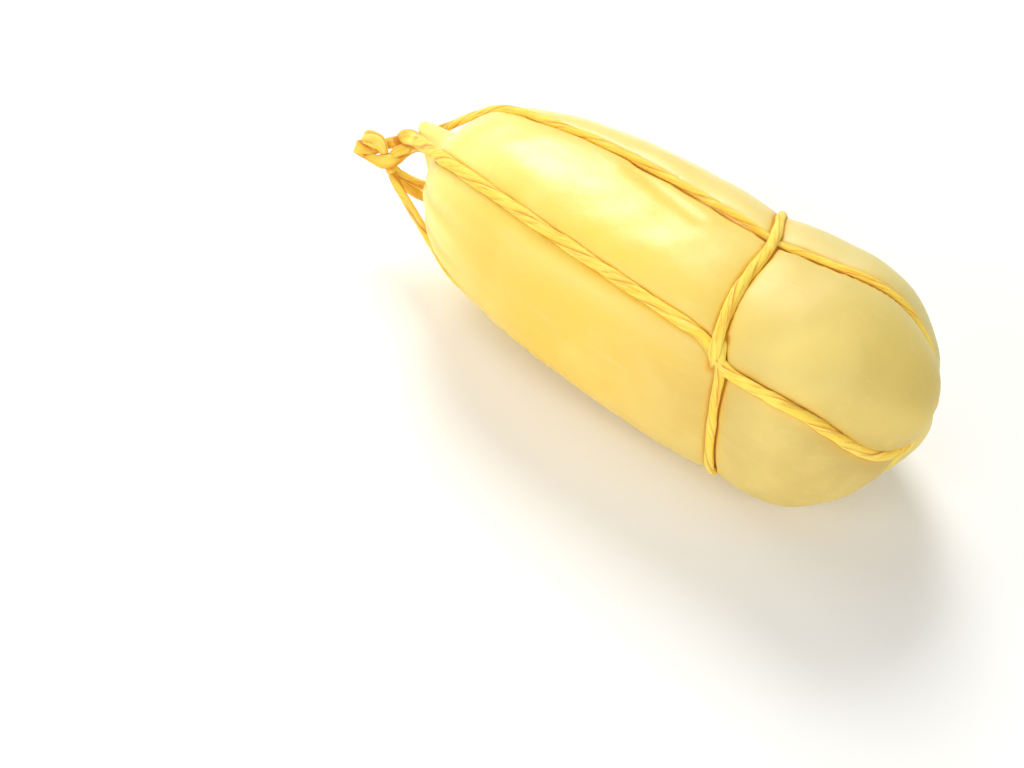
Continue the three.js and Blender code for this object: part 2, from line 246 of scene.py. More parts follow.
TOP_ARCH = [
    [10.4, 1.9, 12.5, 2.4], [8.2, 3.7, 5.7, 2.7], [6.7, 4.4, 3.2, 2.8], [5.4, 4.5, 2, 2.7],
    [4.7, 4.3, 0.6, 2.5], [4.4, 4, -0.9, 2.2], [2.8, 3.4, -2.3, 1.9], [0, 2.9, -2.9, 1.8],
    [-3.5, 3.3, -2.8, 1.9], [-6, 4.2, -1.9, 2.1], [-7.2, 4.7, -0.5, 2.3], [-6.5, 4.6, 0.9, 2.6],
    [-4.9, 4, 1.8, 2.75], [-2.6, 2.7, 2, 2.5], [-1.4, 0.9, 1.7, 2], [-1, -0.6, 0.6, 1.6],
    [-0.3, -2.6, -0.6, 1.5], [0.4, -4.4, -1.2, 1.45], [0.9, -5.8, -1.3, 1.45], [1.6, -7.5, -1.6, 1.45],
]
RISING_END = [
    [10.8, 1.3, 6.4, 0.8], [8.6, 1.4, 3.2, 1.3], [6, 0.9, 2, 1.9], [3.6, 0, 2.1, 1.9], [1.9, -1, 1.3, 1.45],
    [1, -2, -0.4, 1.3], [1.4, -3.7, -1.7, 1.25], [2.2, -5.2, -2.2, 1.35], [4.2, -7, -3.2, 1.45],
]
TUCKED_TAIL = [
    [0.4, -3.4, -2.2, 1.2], [1.8, -5.8, -3.4, 1.3], [3.8, -8.6, -4.4, 1.5], [6.4, -11, -5.2, 1.6],
    [9.4, -13, -6, 1.6], [13, -14.6, -7, 1.6],
]

# The flat ribbons of the knot, and how close another one lies over a ribbon for painted shade to fall on it.
RIBBON_TALL = 0.8
RIBBON_SQUARE = 3.0
RIBBON_FULL = 1.3
RIBBON_FOLD_WIDTH = 0.8
RIBBON_FOLD_SHALLOWER = 0.75
RIBBON_CREASES = 0.3
SIDE_STEADY = 0.4
JOIN_LENGTH = 1.6
JOIN_SLIM = 0.35
OVER_HEIGHT = 0.3
OVER_APART = 7.0
SHADE_UNDER_REACH = 0.8
GAP_TOUCHES = 1.3
GAP_CLEAR = 2.4

# How finely lines and surfaces are worked out, and over how many stations lines are smoothed.
RINGS = 336
AROUND = 288
STRING_STEP = 0.6
STRING_SIDES = 52
KNOT_STEP = 0.4
SIDE_STEPS = 6000
CURVE_STEPS = 60
LINE_STEPS = 40
PRESSER_STEPS = 180
BELT_PRESSER_STEPS = 120
BEND_STEPS = 400
FEWEST_STATIONS = 6
BODY_SOFTNESS = 4
ROUTE_SOFTNESS = 2.5
OUT_SOFTNESS = 8
BELT_SOFTNESS = 5
SIDE_SOFTNESS = 2
BATCH = 8000
SHORTEST_SQUARE = 1e-9

# The camera looks along the lean of the knot: its distance from the cheese's middle and how far it is aside.
CAMERA_TURN = 37.34
CAMERA_LEAN = 48.0
CAMERA_AWAY = 595.52
CAMERA_ASIDE = 88.25
CAMERA_UP = 2.18
CAMERA_LENS = 70.3125
CAMERA_SENSOR = 36.0

# The studio, in metres and watts: its floor, and each soft box with its place, size, power and colour.
FLOOR_REACH = 3.0
ROOM_LIGHT = 0.27
WHITE = (1.0, 1.0, 1.0)
WARM_WHITE = (1.0, 0.99, 0.97)
LIGHT_SQUARE_TO = (0.0, 1.0, 0.01)
SOFT_BOXES = {
    "key": ((-0.5, 0.5, 0.74), 0.42, 7.4, WHITE),
    "high_fill": ((-0.85, -0.1, 0.85), 0.6, 2.2, WHITE),
    "front_fill": ((-0.3, -1.0, 0.45), 0.8, 5.0, WARM_WHITE),
    "side_fill": ((0.8, -0.5, 0.62), 0.8, 5.0, WARM_WHITE),
}


def ease(value, low, high):
    """A smooth rise from 0 at low to 1 at high."""
    share = np.clip((value - low) / (high - low), 0.0, 1.0)
    return share * share * (3.0 - 2.0 * share)


def unit(vectors):
    """Vectors of length one."""
    return vectors / np.linalg.norm(vectors, axis=-1, keepdims=True)


def laid(points):
    """Points in the cheese's own axes as it lies, with its neck end tipped down."""
    points = np.asarray(points, float)
    tip = math.radians(TIP_DOWN)
    x = points[..., 0] * math.cos(tip) - points[..., 2] * math.sin(tip)
    z = points[..., 0] * math.sin(tip) + points[..., 2] * math.cos(tip)
    return np.stack((x, points[..., 1], z), axis=-1)


# The smooth body


def axis_x(turn):
    """Distance along the straight axis: turn runs from 0 at the neck to pi at the far end."""
    along = np.cos(turn)
    to_neck = -NECK_REACH * np.clip(along, 0, 1) ** (2 / NECK_BLUNTNESS)
    to_far = FAR_REACH * np.clip(-along, 0, 1) ** (2 / FAR_BLUNTNESS)
    return to_neck + to_far


def turn_at(x):
    """The turn at which axis_x is a given x."""
    x = np.asarray(x, float)
    reach = np.where(x < 0, NECK_REACH, FAR_REACH)
    bluntness = np.where(x < 0, NECK_BLUNTNESS, FAR_BLUNTNESS)
    return np.arccos(-np.sign(x) * (np.abs(x) / reach) ** (bluntness / 2))


def share_of(x):
    """How far along the body an x is, from 0 at the neck to 1 at the far end."""
    return np.clip((x + NECK_REACH) / (NECK_REACH + FAR_REACH), 0, 1)


def body_point(turn, angle):
    """A point of the smooth body: angle goes round, 0 on top and positive towards the front."""
    turn, angle = np.broadcast_arrays(np.asarray(turn, float), np.asarray(angle, float))
    at_neck = np.cos(turn) > 0
    bluntness = np.where(at_neck, NECK_BLUNTNESS, FAR_BLUNTNESS)
    axis = axis_x(turn)
    plain = HALF_THICK * np.clip(np.sin(turn), 0, 1) ** (2 / bluntness)
    radius = plain * (1 + FATTER_PER_MM * axis)
    nub = np.where(at_neck, np.exp(-((plain / NUB_RADIUS) ** NUB_ROUNDNESS)), 0)
    x = axis - nub * NUB_LENGTH
    square = 2 + (SQUARENESS - 2) * np.clip(radius / HALF_THICK, 0, 1)
    front = np.sin(angle)
    up = np.cos(angle)
    stretch = (np.abs(front) ** square + np.abs(up) ** square) ** (-1 / square)
    to_neck = (np.clip(-x, 0, None) / NECK_REACH) ** NECK_BEND
    to_far = (np.clip(x, 0, None) / FAR_REACH) ** FAR_BEND
    y = -radius * stretch * front + NECK_SIDE * to_neck + FAR_SIDE * to_far + NUB_SIDE * nub
    z = radius * stretch * up + NECK_LIFT * to_neck + FAR_LIFT * to_far + NUB_LIFT * nub
    point = laid(np.stack((x, y, z), axis=-1))
    point[..., 2] = np.maximum(point[..., 2], -FLAT_BELOW - FLAT_SAG)
    return point


def body_normal(turn, angle):
    """The outward direction of the smooth body."""
    step = 1e-3
    turn = np.clip(turn, 2 * step, math.pi - 2 * step)
    lengthwise = body_point(turn + step, angle) - body_point(turn - step, angle)
    around = body_point(turn, angle + step) - body_point(turn, angle - step)
    return unit(np.cross(around, lengthwise))


def lengths_along(line):
    """Distance of each point of a line from its start."""
    steps = np.linalg.norm(np.diff(line, axis=0), axis=1)
    return np.concatenate(((0.0,), np.cumsum(steps)))


def spaced(line, count):
    """A line drawn again with evenly spaced points."""
    along = lengths_along(line)
    places = np.linspace(0, along[-1], count + 1)
    return np.stack([np.interp(places, along, line[:, k]) for k in range(line.shape[1])], axis=1)


def smooth_line(points, count):
    """Evenly spaced points of a smooth curve through the given ones."""
    points = np.asarray(points, float)
    padded = np.vstack((points[:1], points, points[-1:]))
    last = len(points) - 1
    along = np.linspace(0, last, CURVE_STEPS * last)
    index = np.minimum(along.astype(int), last - 1)
    part = (along - index)[:, None]
    before, start, end, beyond = (padded[index + k] for k in range(4))
    leave = (end - before) / 2
    arrive = (beyond - start) / 2
    bend = (2 * start - 2 * end + leave + arrive) * part**3
    turn = (3 * end - 3 * start - 2 * leave - arrive) * part**2
    return spaced(bend + turn + leave * part + start, count)


SIDE_TURNS = np.linspace(0, math.pi, SIDE_STEPS + 1)
SIDE_LENGTHS = lengths_along(body_point(SIDE_TURNS, math.pi / 2))


def even_turns(count):
    """Turns spaced evenly along the side line of the body, from neck to far end."""
    return np.interp(np.linspace(0, SIDE_LENGTHS[-1], count + 1), SIDE_LENGTHS, SIDE_TURNS)


# The lines of the strings, and how the cheese gives under them


def string_angle(line, share):
    """The angle of a lengthwise string at a share of the body's length."""
    shift = (line["after"] - line["belt"]) * ease(share, BELT_AT - SHIFT_BEFORE, BELT_AT + SHIFT_AFTER)
    toward_belt = line["neck"] + (line["belt"] - line["neck"]) * (share / BELT_AT) ** line["ease"]
    swing = (np.clip(share - BELT_AT, 0, 1) / (1 - BELT_AT)) ** line["swing"]
    past_belt = line["belt"] + (line["far"] - line["after"]) * swing
    return np.radians(np.where(share < BELT_AT, toward_belt, past_belt) + shift)


def lengthwise_places(line, count):
    """Turn, angle and share of a lengthwise string, from where it leaves the shoulder to the far end."""
    turn = even_turns(count)
    share = share_of(axis_x(turn))
    on_body = share > line["leaves"]
    return turn[on_body], string_angle(line, share)[on_body], share[on_body]


def belt_places(points, count):
    """Turn, angle and share of a run of the belt."""
    line = smooth_line(points, count)
    return turn_at(line[:, 1]), np.radians(line[:, 0]), np.full(count + 1, BELT_AT)


def presser(places):
    """A string line on the smooth body with the depth to which it presses in."""
    turn, angle, share = places
    grip = VALLEY_DEPTH * ease(share, GRIP_FROM, GRIP_FULL)
    weight = UNDER_PRESS * np.clip(-body_normal(turn, angle)[:, 2], 0, 1) ** UNDER_PRESS_FALL
    far = (FAR_VALLEY_DEPTH - VALLEY_DEPTH) * ease(share, FAR_VALLEY_FROM, 1)
    return body_point(turn, angle), grip + weight + far


LENGTHWISE = [TOP, FRONT, UNDER, BACK]
lengthwise_pressers = [presser(lengthwise_places(line, PRESSER_STEPS)) for line in LENGTHWISE]
belt_pressers = [presser(belt_places(points, BELT_PRESSER_STEPS)) for points in (BELT_LOWER, BELT_UPPER)]
swell_at = body_point(turn_at(SWELL_X), math.radians(SWELL_ANGLE))


def nearest(points, line):
    """Distance of each point from a line of points, and which stretch of the line is nearest."""
    start = line[:-1]
    reach = np.diff(line, axis=0)
    squares = np.maximum((reach**2).sum(1), SHORTEST_SQUARE)
    away = np.empty(len(points))
    index = np.empty(len(points), int)
    for first in range(0, len(points), BATCH):
        part = points[first:first + BATCH]
        along = part @ reach.T - (start * reach).sum(1)
        share = np.clip(along / squares, 0, 1)
        square = (part**2).sum(1)[:, None] - 2 * part @ start.T + (start**2).sum(1)
        square = square - 2 * share * along + share**2 * squares
        best = square.argmin(1)
        index[first:first + BATCH] = best
        away[first:first + BATCH] = np.sqrt(np.maximum(square[np.arange(len(part)), best], 0))
    return away, index


def fall(points, line_and_depths):
    """How far one string presses the body in at points of it."""
    line, depths = line_and_depths
    away, index = nearest(points, line)
    return depths[index] * np.exp(-(np.hypot(away, STRING_WIDE) - STRING_WIDE) / VALLEY_SPREAD)


def sag(points):
    """How far all the strings together press the body in."""
    cubes = sum(fall(points, one) ** 3 for one in lengthwise_pressers)
    belt = np.maximum(*(fall(points, one) for one in belt_pressers))
    return np.cbrt(cubes + belt**3)


def swell(points):
    """How far the front lobe swells out past the strings at the far end."""
    return SWELL_HEIGHT * np.exp(-((points - swell_at) ** 2).sum(-1) / SWELL_SPREAD**2)


def pressed_point(turn, angle, out):
    """A point out from the cheese where the strings have pressed it."""
    point = body_point(turn, angle)
    rise = out + swell(point) - sag(point)
    return point + body_normal(turn, angle) * rise[:, None]


# Routes of the strings: middles, outward directions and half sizes


def softened(values, spread):
    """Values smoothed along the first axis, with their ends kept."""
    reach = int(3 * spread)
    weights = np.exp(-0.5 * (np.arange(-reach, reach + 1) / spread) ** 2)
    weights = weights / weights.sum()
    values = np.asarray(values, float)
    flat = values.reshape(len(values), -1)
    padded = np.vstack((2 * flat[:1] - flat[reach:0:-1], flat, 2 * flat[-1:] - flat[-2:-reach - 2:-1]))
    smooth = [np.convolve(padded[:, k], weights, "valid") for k in range(flat.shape[1])]
    return np.stack(smooth, axis=1).reshape(values.shape)


def stations_on(places, crossings, shift, widths):
    """Stations of a string on the cheese, shifted in or out and pressed flatter near each crossing."""
    turn, angle, share = places
    ground = body_point(turn, angle)
    away = np.min([np.linalg.norm(ground - crossing, axis=1) for crossing in crossings], axis=0)
    near = np.exp(-((away / CROSSING_LENGTH) ** 2))
    thick = np.interp(share, (0, BELT_AT, 1), widths)
    return dict(
        at=pressed_point(turn, angle, STRING_RIDE + shift * near),
        out=body_normal(turn, angle),
        wide=STRING_WIDE * thick * (1 + CROSSING_PRESS * CROSSING_WIDENS * near),
        tall=STRING_TALL * np.sqrt(thick) * (1 - CROSSING_PRESS * near),
        flat=np.zeros(len(turn)),
    )


def turned_round(stations):
    """The same stations in the other order."""
    return {key: values[::-1] for key, values in stations.items()}


def joined(runs):
    """Runs of stations one after the other."""
    return {key: np.concatenate([run[key] for run in runs]) for key in runs[0]}


def cut(stations, part):
    """Some of the stations."""
    return {key: values[part] for key, values in stations.items()}


knot_turn = math.radians(KNOT_TURN)
knot_lean = math.radians(KNOT_LEAN)
knot_across = laid((math.cos(knot_turn), math.sin(knot_turn), 0))
knot_out = laid((
    math.sin(knot_turn) * math.cos(knot_lean),
    -math.cos(knot_turn) * math.cos(knot_lean),
    math.sin(knot_lean),
))
knot_up = np.cross(knot_out, knot_across)


def knot_points(strand):
    """Points of a strand of the knot."""
    return laid(KNOT_AT) + np.asarray(strand, float)[:, :3] @ np.stack((knot_across, knot_up, knot_out))


def slimmed(from_end):
    """How a strand narrows towards an end, where it goes on inside the next one."""
    return 1 - JOIN_SLIM * (1 - ease(from_end, 0, JOIN_LENGTH))


def free_stations(ends, body_stations):
    """The free run of a string from the knot to its first station on the shoulder."""
    end, inner = knot_points(ends)
    away = unit(end - inner)
    start = end - JOIN_LENGTH * away
    first, second = body_stations["at"][:2]
    reach = BEND_REACH * np.linalg.norm(first - start)
    leave = start + reach * away
    arrive = first - reach * unit(second - first)
    part = np.linspace(0, 1, BEND_STEPS)[:, None]
    bend = start * (1 - part) ** 3 + 3 * leave * part * (1 - part) ** 2
    bend = bend + 3 * arrive * part**2 * (1 - part) + first * part**3
    count = max(FEWEST_STATIONS, round(lengths_along(bend)[-1] / STRING_STEP))
    share = np.arange(count) / count
    out = knot_out * (1 - share[:, None]) + body_stations["out"][0] * share[:, None]
    width = ends[0][3]
    slim = slimmed(np.arange(count) * STRING_STEP)
    return dict(
        at=spaced(bend, count)[:-1],
        out=unit(out),
        wide=(width + (body_stations["wide"][0] - width) * share) * slim,
        tall=(RIBBON_TALL + (body_stations["tall"][0] - RIBBON_TALL) * share) * slim,
        flat=1 - share,
    )


def loop_route(there, back, from_ends, to_ends):
    """A string from the knot along one line to the far end and back along another line to the knot."""
    on_body = joined((there, turned_round(cut(back, slice(0, -1)))))
    on_body["at"] = softened(on_body["at"], BODY_SOFTNESS)
    start = free_stations(from_ends, on_body)
    end = turned_round(free_stations(to_ends, turned_round(on_body)))
    route = joined((start, on_body, end))
    route["at"] = softened(route["at"], ROUTE_SOFTNESS)
    route["out"] = unit(softened(route["out"], OUT_SOFTNESS))
    return route


belt_turn = turn_at(-NECK_REACH + BELT_AT * (NECK_REACH + FAR_REACH))
crossings = [body_point(belt_turn, string_angle(line, np.array(BELT_AT))) for line in LENGTHWISE]
far_pole = body_point(math.pi, 0.0)
line_steps = round(SIDE_LENGTHS[-1] / STRING_STEP)
on_top, on_front, on_under, on_back = (
    stations_on(lengthwise_places(line, line_steps), [*crossings, far_pole], -CROSSING_SINK, line["widths"])
    for line in LENGTHWISE
)

over_route = loop_route(on_top, on_under, HIDDEN_BIGHT[:2], TOP_ARCH[:-3:-1])
across_route = loop_route(on_front, on_back, TOP_ARCH[:2], RISING_END[:-3:-1])
from_knot = 1 - ease(lengths_along(across_route["at"]), 0, BAND_LENGTH)
drawn_in = np.exp(-(((lengths_along(across_route["at"]) - DRAWN_IN_AT) / DRAWN_IN_LENGTH) ** 2))
across_route["wide"] = across_route["wide"] * (1 - DRAWN_IN_SHARE * drawn_in)
across_route["tall"] = across_route["tall"] * (1 - BAND_FLATTER * from_knot)
over_the_other = np.linalg.norm(across_route["at"] - on_top["at"][-1], axis=1) / (2 * CROSSING_LENGTH)
lift = (CROSSING_SINK + CROSSING_RISE) * np.exp(-(over_the_other**2))
across_route["at"] = across_route["at"] + across_route["out"] * lift[:, None]


def belt_route():
    """The belt from its tucked start round to its pointed end."""
    runs = []
    for points in (BELT_LOWER, BELT_UPPER[::-1]):
        span = math.radians(abs(points[-1][0] - points[0][0]))
        places = belt_places(points, round(span * HALF_THICK / STRING_STEP))
        runs.append(stations_on(places, crossings, CROSSING_RISE, BELT_WIDTHS))
    route = joined(runs)
    route["at"] = softened(route["at"], BELT_SOFTNESS)
    along = lengths_along(route["at"])
    tuck = 1 - ease(along, 0, TUCK_LENGTH)
    point = ease(along, along[-1] - POINT_LENGTH, along[-1])
    start = 1 - ease(along, 0, START_LENGTH)
    near_end = 1 - ease(along[-1] - along, BELT_THINS_FROM, BELT_THINS_TO)
    thick = BELT_THIN + (BELT_THICK - BELT_THIN) * near_end
    slim = np.sqrt(1 - START_SLIM * start**2) * (1 - POINT_SLIM * point**2) * thick
    route["wide"] = route["wide"] * slim
    route["tall"] = route["tall"] * slim
    sink = TUCK_DEPTH * tuck + POINT_DEPTH * point**2
    route["at"] = route["at"] - route["out"] * sink[:, None]
    return route


def knot_route(strand):
    """One flat strand of the knot: its broad side faces out, and stays steady where it folds over."""
    points = np.column_stack((knot_points(strand), np.asarray(strand, float)[:, 3]))
    count = round(lengths_along(points[:, :3])[-1] / KNOT_STEP)
    line = smooth_line(points, count)
    ahead = unit(np.gradient(line[:, :3], axis=0))
    side = np.cross(ahead, knot_out)
    side[0] = unit(side[0])
    for i in range(1, len(side)):
        turned = side[i] if side[i] @ side[i - 1] > 0 else -side[i]
        side[i] = unit(SIDE_STEADY * side[i - 1] + turned)
    side = unit(softened(side, SIDE_SOFTNESS))
    along = lengths_along(line[:, :3])
    slim = slimmed(np.minimum(along, along[-1] - along))
    return dict(
        at=line[:, :3],
        out=np.cross(side, ahead),
        wide=line[:, 3] * slim,
        tall=RIBBON_TALL * slim * np.clip(line[:, 3] / RIBBON_FULL, 0, 1),
        flat=np.ones(len(line)),
    )


# Meshes


def wander(along, wavelength, seed):
    """A smooth seeded value between about -1 and 1 that changes along a string."""
    draw = np.random.default_rng(seed)
    total = np.zeros_like(along)
    for share in WANDER_WAVES:
        total = total + np.sin(2 * math.pi * along / (wavelength * share) + draw.uniform(0, 2 * math.pi))
    return total / WANDER_EVENS_OUT


def lumps(points, wavelength, seed):
    """A smooth seeded value over the cheese, made of waves in many directions."""
    draw = np.random.default_rng(seed)
    total = np.zeros(len(points))
    for _ in range(LUMP_WAVES):
        direction = unit(draw.normal(size=3)) * 2 * math.pi / (wavelength * draw.uniform(*LUMP_VARIES))
        total = total + np.sin(points @ direction + draw.uniform(0, 2 * math.pi))
    return total / LUMP_EVENS_OUT


def tube_faces(rows, columns):
    """Faces of a closed tube of rows of points, with a point at the middle of each end."""
    row = np.arange(rows - 1)[:, None] * columns
    column = np.arange(columns)[None, :]
    after = (column + 1) % columns
    sides = np.stack((row + column, row + after, row + columns + after, row + columns + column), axis=-1)
    ring = np.arange(columns)
    after = (ring + 1) % columns
    start = np.full(columns, rows * columns)
    last = (rows - 1) * columns
    caps = [np.stack((start, after, ring), axis=1), np.stack((start + 1, last + ring, last + after), axis=1)]
    return [*sides.reshape(-1, 4).tolist(), *caps[0].tolist(), *caps[1].tolist()]


def add_piece(name, node, points, faces, material, values):
    """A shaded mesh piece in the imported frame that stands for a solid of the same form."""
    mesh = bpy.data.meshes.new(name)
    mesh.from_pydata(((points + STANDS_AT) * TO_METRES).tolist(), [], faces)
    for key, numbers in values.items():
        kind, field = ("FLOAT", "value") if numbers.ndim == 1 else ("FLOAT_VECTOR", "vector")
        mesh.attributes.new(key, kind, "POINT").data.foreach_set(field, numbers.astype(np.float32).ravel())
    mesh.polygons.foreach_set("use_smooth", np.ones(len(mesh.polygons), bool))
    mesh.materials.append(material)
    mesh.update()
    piece = bpy.data.objects.new(name, mesh)
    bpy.context.scene.collection.objects.link(piece)
    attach(piece, "root")
    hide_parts(node)


def dent(points, line, depth, spread):
    """A soft groove along a line on the cheese."""
    away, _ = nearest(points, line)
    return depth * np.exp(-((away / spread) ** 2))


def on_cheese(places):
    """A line on the smooth body through places given as x and angle."""
    line = smooth_line(places, LINE_STEPS)
    return body_point(turn_at(line[:, 0]), np.radians(line[:, 1]))


def away_from_strings(points):
    """Distance of the skin from the nearest string line."""
    lines = [line for line, _ in [*lengthwise_pressers, *belt_pressers]]
    return np.min([nearest(points, line)[0] for line in lines], axis=0)


def seats(away):
    """How deep the strings' own narrow seats are in the floors of their valleys."""
    return (STRING_TALL - STRING_RIDE) * np.sqrt(np.clip(1 - (away / SEAT_WIDTH) ** 2, 0, 1))


def shade_beside_string(away):
    """How close the skin is to a string, where painted shade falls beside it: from 1 under it to 0 well away
    from it.
    """
    return np.exp(-np.clip(away - STRING_WIDE, 0, None) / SHADE_BESIDE_REACH)


def pleats(turn, degrees):
    """Shallow folds under the front string, drawn together at the neck and fading along the shoulder."""
    share = share_of(axis_x(turn))
    angle = np.radians(degrees)
    below_front = ease(degrees, *PLEAT_FROM) * (1 - ease(degrees, *PLEAT_TO))
    wave = np.sin(PLEAT_COUNT * angle + PLEAT_SWAY * np.sin(PLEAT_SWAY_COUNT * angle))
    wave = wave + FINE_PLEAT_SHARE * np.sin(FINE_PLEAT_COUNT * angle + FINE_PLEAT_SHIFT)
    return wave * below_front * ease(turn, *PLEAT_OFF_NUB) * (1 - ease(share, *PLEAT_FADES))


def make_cheese(material):
    """The cheese as the strings have pressed it, with the places where its skin changes colour and where
    light and shade are painted on it.
    """
    turn = even_turns(RINGS)[1:-1]
    angle = np.linspace(0, 2 * math.pi, AROUND, endpoint=False)
    turns = np.concatenate((np.repeat(turn, AROUND), (0.0, math.pi)))
    angles = np.concatenate((np.tile(angle, len(turn)), (0.0, 0.0)))
    smooth = body_point(turns, angles)
    uneven = BROAD_LUMP_HEIGHT * lumps(smooth, BROAD_LUMP_LENGTH, BROAD_LUMP_SEED)
    uneven = uneven + SMALL_LUMP_HEIGHT * lumps(smooth, SMALL_LUMP_LENGTH, SMALL_LUMP_SEED)
    away = away_from_strings(smooth)
    degrees = (np.degrees(angles) + 180) % 360 - 180
    pleat = pleats(turns, degrees)
    out = swell(smooth) - sag(smooth) - seats(away) + uneven
    out = out - dent(smooth, on_cheese(CREASE), CREASE_DEPTH, CREASE_SPREAD)
    out = out - dent(smooth, on_cheese(HOLLOW), HOLLOW_DEPTH, HOLLOW_SPREAD) + PLEAT_DEPTH * pleat
    points = smooth + body_normal(turns, angles) * out[:, None]
    points[:, 2] = np.maximum(points[:, 2], -FLAT_BELOW)
    faces = tube_faces(len(turn), AROUND)
    share = share_of(axis_x(turns))
    pale_neck_ridge_highlight = (1 - ease(share, *PALE_NECK_FADES)) * ease(degrees, *PALE_NECK_FROM) * (1 - ease(degrees, *PALE_NECK_TO))
    values = {
        "along": share,
        # Paler at the neck, with a painted highlight on the pleat ridges.
        "pale_neck_ridge_highlight": pale_neck_ridge_highlight * (1 - RIDGE_HIGHLIGHT_SHARE + RIDGE_HIGHLIGHT_SHARE * pleat),
        # Painted amber shade beside the strings.
        "painted_shade_beside": shade_beside_string(away),
        # A painted pale reflection at the rear.
        "painted_rear_reflection": ease(degrees, *REAR_REFLECTION_FROM) * (1 - ease(degrees, *REAR_REFLECTION_TO)),
        # Painted warm shade on the lower side.
        "painted_lower_shade": ease(degrees, *LOWER_SHADE_FROM) * (1 - ease(degrees, *LOWER_SHADE_TO)),
    }
    add_piece("cheese_body", "cheese", points, faces, material, values)


def paper_folds(along, place, flat, seed):
    """How deep the folds of a rolled paper string are, and where the paper stands up or dips beside one."""
    draw = np.random.default_rng(seed)
    fold = np.zeros((len(along), len(place)))
    lip = np.zeros_like(fold)
    dip = np.zeros_like(fold)
    for number in range(MAIN_FOLDS + FINE_FOLDS):
        main = number < MAIN_FOLDS
        middle = 2 * math.pi * number / MAIN_FOLDS if main else draw.uniform(0, 2 * math.pi)
        varies = wander(along, draw.uniform(*FOLD_VARIES_OVER), seed + FOLD_SEED_STEP * number)
        sway = wander(along, FOLD_SWAYS_OVER, seed + FOLD_SEED_STEP * number + SWAY_SEED)
        if main:
            strength = np.clip(MAIN_FOLD_STRENGTH + MAIN_FOLD_VARIES * varies, MAIN_FOLD_LEAST, 1)
            sway = MAIN_FOLD_SWAY * sway
            width = MAIN_FOLD_WIDTH + (RIBBON_FOLD_WIDTH - MAIN_FOLD_WIDTH) * flat[:, None]
        else:
            creases = RIBBON_CREASES * flat
            strength = FINE_FOLD_STRENGTH + creases + FINE_FOLD_VARIES * varies
            strength = np.clip(strength, 0, FINE_FOLD_MOST + creases)
            sway = FINE_FOLD_SWAY * sway
            width = FINE_FOLD_WIDTH
        gap = (place[None, :] - middle - sway[:, None] + math.pi) % (2 * math.pi) - math.pi
        fold = np.maximum(fold, strength[:, None] * np.exp(-np.abs(gap) / width))
        lip = np.maximum(lip, strength[:, None] * np.where(gap > 0, np.exp(-gap / LIP_WIDTH), 0))
        dip = np.maximum(dip, strength[:, None] * np.where(gap < 0, np.exp(gap / DIP_WIDTH), 0))
    return fold, lip, dip


def string_mesh(route, seed, pitch):
    """Points, faces and surface values of a rolled paper string whose folds wind round it."""
    at = route["at"]
    along = lengths_along(at)
    ahead = unit(np.gradient(at, axis=0))
    out = unit(route["out"] - ahead * (route["out"] * ahead).sum(1, keepdims=True))
    side = np.cross(ahead, out)
    rate = 2 * math.pi / pitch * (1 + PITCH_VARIES * wander(along, PITCH_VARIES_OVER, seed))
    winding = -np.concatenate(((0.0,), np.cumsum(rate[1:] * np.diff(along)))) + math.pi / 2
    place = np.linspace(0, 2 * math.pi, STRING_SIDES, endpoint=False)
    flat = route["flat"]
    fold, lip, dip = paper_folds(along, place, flat, seed)
    plump = FOLD_PLUMP * np.cos(MAIN_FOLDS * (place - math.pi / MAIN_FOLDS))[None, :]
    depth = FOLD_DEPTH * (1 - RIBBON_FOLD_SHALLOWER * flat)[:, None]
    knobbly = KNOBBLY * wander(along, KNOBBLY_OVER, seed + KNOBBLY_SEED)[:, None]
    size = 1 + plump + depth * (LIP_RISE * lip - DIP_FALL * dip - fold) + knobbly
    wide = route["wide"] * (1 + WIDE_VARIES * wander(along, WIDE_VARIES_OVER, seed + WIDE_SEED))
    tall = route["tall"] * (1 + TALL_VARIES * wander(along, TALL_VARIES_OVER, seed + TALL_SEED))
    turned = place[None, :] + winding[:, None]
    power = 2 / (2 + (RIBBON_SQUARE - 2) * flat)[:, None]
    across = np.sign(np.sin(turned)) * np.abs(np.sin(turned)) ** power
    upward = np.sign(np.cos(turned)) * np.abs(np.cos(turned)) ** power
    across = (wide[:, None] * size * across)[..., None]
    upward = (tall[:, None] * size * upward)[..., None]
    points = at[:, None] + out[:, None] * upward + side[:, None] * across
    points = np.vstack((points.reshape(-1, 3), at[:1], at[-1:]))
    fibre = np.stack((
        np.repeat(along, STRING_SIDES) / FIBRE_LENGTH,
        np.tile(np.cos(place), len(at)),
        np.tile(np.sin(place), len(at)),
    ), axis=1)
    # The folds and dips carry painted shade, the lips a painted highlight.
    values = {
        "fold": np.concatenate((fold.ravel(), (0.0, 0.0))),
        "lip": np.concatenate((lip.ravel(), (0.0, 0.0))),
        "dip": np.concatenate((dip.ravel(), (0.0, 0.0))),
        "fibre": np.vstack((fibre, fibre[:1], fibre[-1:])),
    }
    return points, tube_faces(len(at), STRING_SIDES), values


